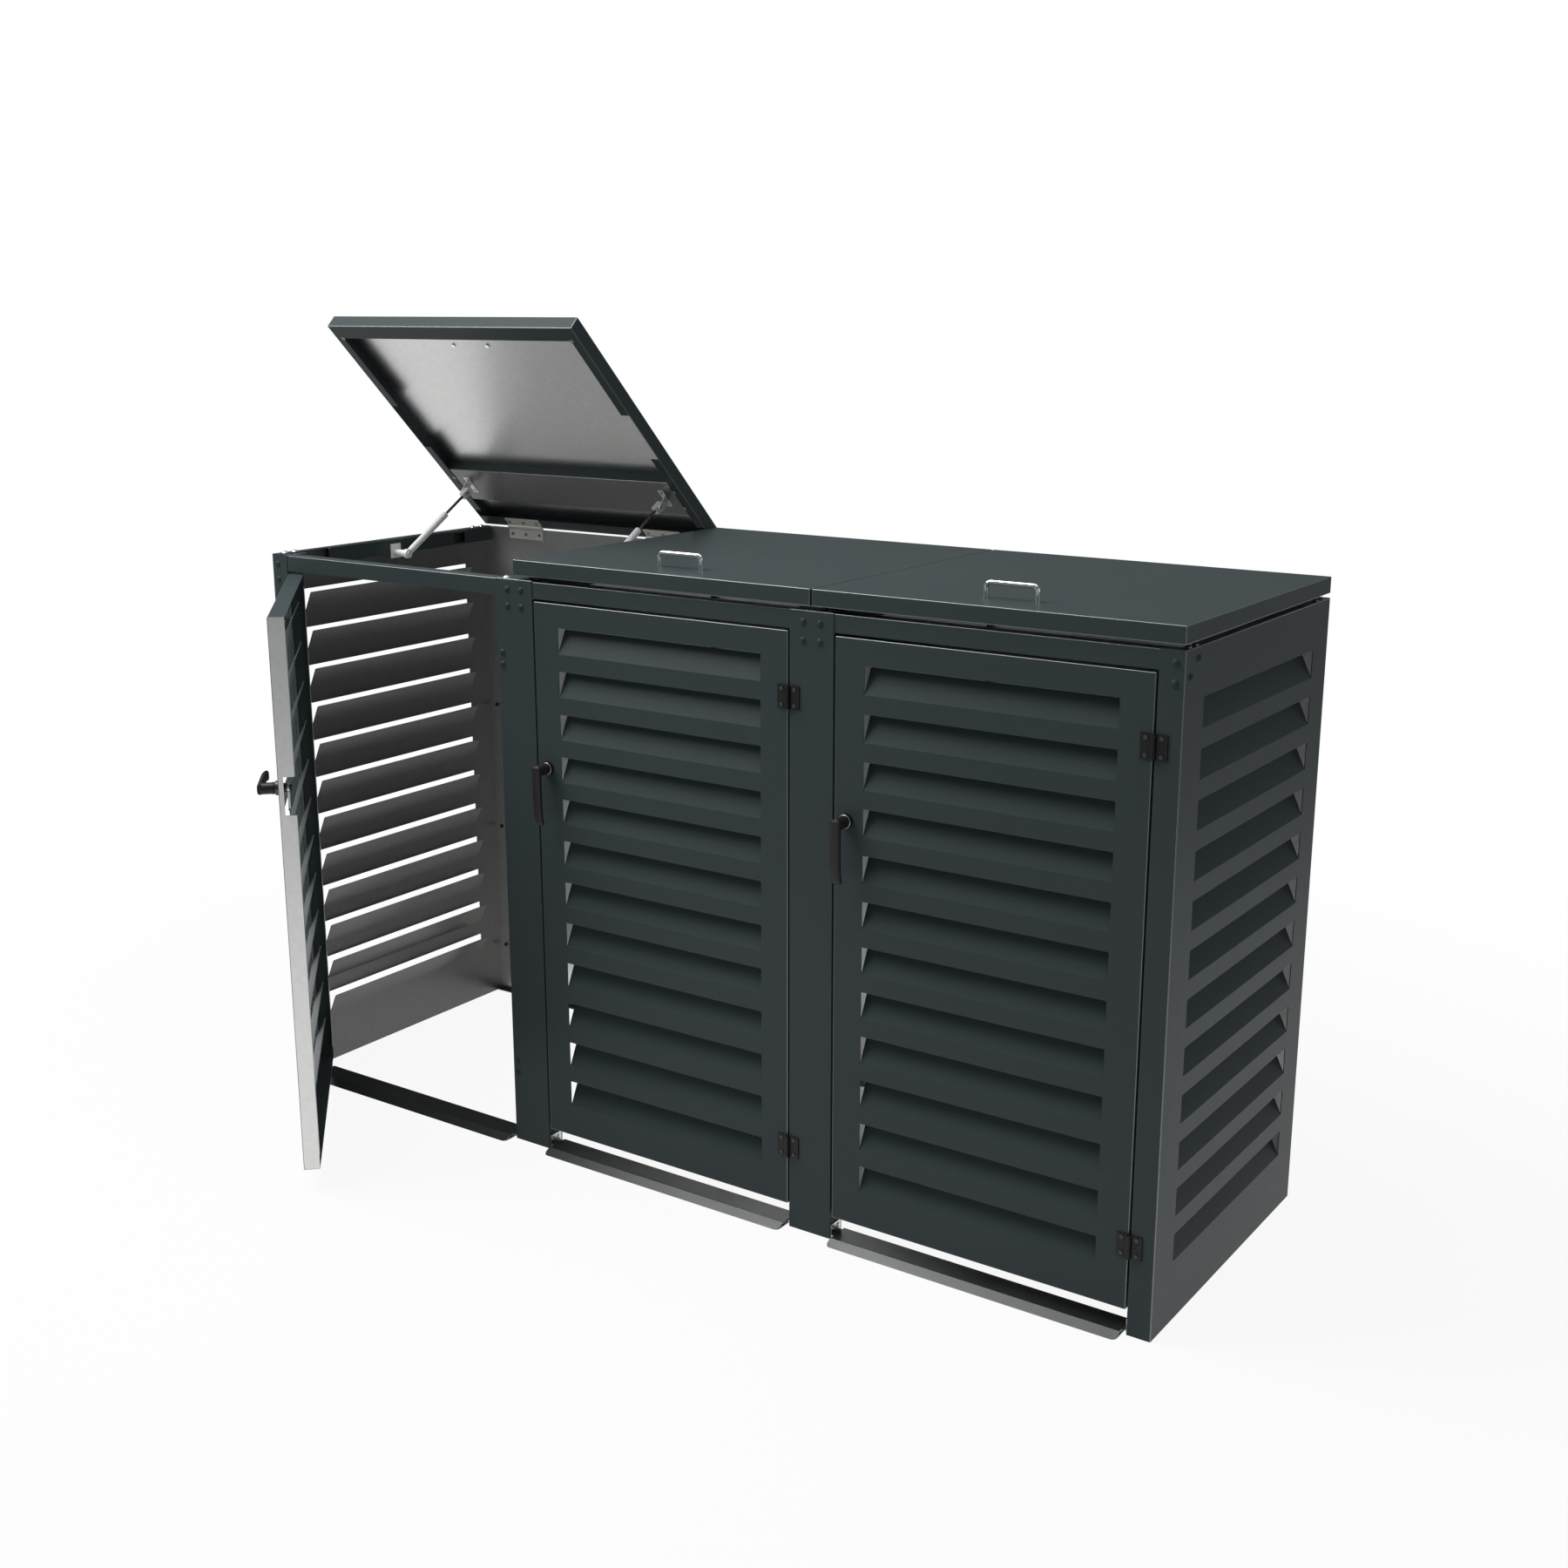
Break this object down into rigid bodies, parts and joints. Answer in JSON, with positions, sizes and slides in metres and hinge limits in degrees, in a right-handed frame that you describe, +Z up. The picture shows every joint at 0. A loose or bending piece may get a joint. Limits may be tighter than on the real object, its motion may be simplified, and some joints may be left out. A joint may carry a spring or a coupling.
{
  "type": "wheelie bin store",
  "caption": "Outdoor store of folded dark sheet metal with louvred doors and sides, side-by-side bays, lifting lids on stay struts and lever latches.",
  "frame": {"origin": "on the ground under the middle sill, in the middle of the front plane of the doors", "axes": "+X to the right along the front, +Y from the front to the back, +Z up"},
  "size_m": [2.0706, 1.1127, 1.6648],
  "materials": {
    "painted_sheet": "dark grey fine-textured powder coat",
    "zinc_fittings": "bright zinc plate",
    "hinge_steel": "satin stainless steel",
    "black_fixings": "black coated steel",
    "black_hinges": "black coated steel",
    "black_lever": "moulded satin black",
    "latch_rose": "dark satin metal",
    "cam_steel": "plain plated steel",
    "chrome_bow": "polished chrome",
    "strut_tube": "light satin grey",
    "strut_rod": "ground steel rod"
  },
  "bodies": {
    "frame": {"side_panel_left": "painted_sheet", "side_panel_right": "painted_sheet", "back_panel_left": "painted_sheet", "back_panel_middle": "painted_sheet", "back_panel_right": "painted_sheet", "front_post_left": "painted_sheet", "front_post_right": "painted_sheet", "front_rail_left": "painted_sheet", "front_rail_middle": "painted_sheet", "front_rail_right": "painted_sheet", "sill_left": "painted_sheet", "sill_middle": "painted_sheet", "sill_right": "painted_sheet", "side_rail_left": "painted_sheet", "side_rail_right": "painted_sheet", "mid_rails": "painted_sheet", "corner_brackets": "zinc_fittings", "sill_brackets": "zinc_fittings", "foot_plates": "zinc_fittings", "panel_bolts": "black_fixings", "top_bolts": "zinc_fittings", "lid_hinge_fixed_leaves": "hinge_steel", "door_hinge_frame_leaves": "black_hinges", "strut_rail_brackets": "zinc_fittings"},
    "lid_left": {"lid_left": "painted_sheet", "lid_brace_left": "painted_sheet", "lid_handle_left": "chrome_bow", "lid_hinge_leaves_left": "hinge_steel", "strut_lid_brackets_left": "zinc_fittings"},
    "strut_tubes_left": {"strut_tubes_left": "strut_tube"},
    "strut_rods_left": {"strut_rods_left": "strut_rod"},
    "door_left": {"door_left": "painted_sheet", "door_hinge_leaves_left": "black_hinges", "door_latch_left": "latch_rose"},
    "door_handle_left": {"door_handle_left": "black_lever", "door_cam_left": "cam_steel"},
    "lid_middle": {"lid_middle": "painted_sheet", "lid_brace_middle": "painted_sheet", "lid_handle_middle": "chrome_bow", "lid_hinge_leaves_middle": "hinge_steel", "strut_lid_brackets_middle": "zinc_fittings"},
    "strut_tubes_middle": {"strut_tubes_middle": "strut_tube"},
    "strut_rods_middle": {"strut_rods_middle": "strut_rod"},
    "door_middle": {"door_middle": "painted_sheet", "door_hinge_leaves_middle": "black_hinges", "door_latch_middle": "latch_rose"},
    "door_handle_middle": {"door_handle_middle": "black_lever", "door_cam_middle": "cam_steel"},
    "lid_right": {"lid_right": "painted_sheet", "lid_brace_right": "painted_sheet", "lid_handle_right": "chrome_bow", "lid_hinge_leaves_right": "hinge_steel", "strut_lid_brackets_right": "zinc_fittings"},
    "strut_tubes_right": {"strut_tubes_right": "strut_tube"},
    "strut_rods_right": {"strut_rods_right": "strut_rod"},
    "door_right": {"door_right": "painted_sheet", "door_hinge_leaves_right": "black_hinges", "door_latch_right": "latch_rose"},
    "door_handle_right": {"door_handle_right": "black_lever", "door_cam_right": "cam_steel"}
  },
  "joints": [
    {"name": "lid_left_hinge", "type": "hinge", "parent": "frame", "child": "lid_left", "pos_m": [-0.689, 0.648, 1.1802], "axis": [-1, 0, 0], "range_deg": [-45, 0]},
    {"name": "strut_left_swing", "type": "hinge", "parent": "frame", "child": "strut_tubes_left", "pos_m": [-0.689, 0.336, 1.145], "axis": [1, 0, 0], "range_deg": [-27.89, 0]},
    {"name": "strut_left_slide", "type": "slide", "parent": "strut_tubes_left", "child": "strut_rods_left", "axis": [0, 0.8517, 0.524], "range_m": [-0.05817, 0]},
    {"name": "door_left_hinge", "type": "hinge", "parent": "frame", "child": "door_left", "pos_m": [-0.986, -0.005, 0.5915], "axis": [0, 0, -1], "range_deg": [-45, 65]},
    {"name": "handle_left_turn", "type": "hinge", "parent": "door_left", "child": "door_handle_left", "pos_m": [-0.58154, -0.40239, 0.812], "axis": [0.7071, 0.7071, 0], "range_deg": [-90, 0]},
    {"name": "lid_middle_hinge", "type": "hinge", "parent": "frame", "child": "lid_middle", "pos_m": [0, 0.648, 1.1802], "axis": [-1, 0, 0], "range_deg": [0, 45]},
    {"name": "strut_middle_swing", "type": "hinge", "parent": "frame", "child": "strut_tubes_middle", "pos_m": [0, 0.336, 1.145], "axis": [1, 0, 0], "range_deg": [0, 27.89]},
    {"name": "strut_middle_slide", "type": "slide", "parent": "strut_tubes_middle", "child": "strut_rods_middle", "axis": [0, 0.9979, 0.065], "range_m": [0, 0.05817]},
    {"name": "door_middle_hinge", "type": "hinge", "parent": "frame", "child": "door_middle", "pos_m": [0.297, -0.005, 0.5915], "axis": [0, 0, 1], "range_deg": [0, 110]},
    {"name": "handle_middle_turn", "type": "hinge", "parent": "door_middle", "child": "door_handle_middle", "pos_m": [-0.27, 0, 0.812], "axis": [0, -1, 0], "range_deg": [0, 90]},
    {"name": "lid_right_hinge", "type": "hinge", "parent": "frame", "child": "lid_right", "pos_m": [0.689, 0.648, 1.1802], "axis": [-1, 0, 0], "range_deg": [0, 45]},
    {"name": "strut_right_swing", "type": "hinge", "parent": "frame", "child": "strut_tubes_right", "pos_m": [0.689, 0.336, 1.145], "axis": [1, 0, 0], "range_deg": [0, 27.89]},
    {"name": "strut_right_slide", "type": "slide", "parent": "strut_tubes_right", "child": "strut_rods_right", "axis": [0, 0.9979, 0.065], "range_m": [0, 0.05817]},
    {"name": "door_right_hinge", "type": "hinge", "parent": "frame", "child": "door_right", "pos_m": [0.986, -0.005, 0.5915], "axis": [0, 0, 1], "range_deg": [0, 110]},
    {"name": "handle_right_turn", "type": "hinge", "parent": "door_right", "child": "door_handle_right", "pos_m": [0.419, 0, 0.812], "axis": [0, -1, 0], "range_deg": [0, 90]}
  ],
  "couplings": [
    {"joint": "strut_left_swing", "follows": "lid_left_hinge", "ratio": 0.61944},
    {"joint": "strut_left_slide", "follows": "lid_left_hinge", "m_per_rad": 0.074032},
    {"joint": "strut_middle_swing", "follows": "lid_middle_hinge", "ratio": 0.61944},
    {"joint": "strut_middle_slide", "follows": "lid_middle_hinge", "m_per_rad": 0.074032},
    {"joint": "strut_right_swing", "follows": "lid_right_hinge", "ratio": 0.61944},
    {"joint": "strut_right_slide", "follows": "lid_right_hinge", "m_per_rad": 0.074032}
  ]
}
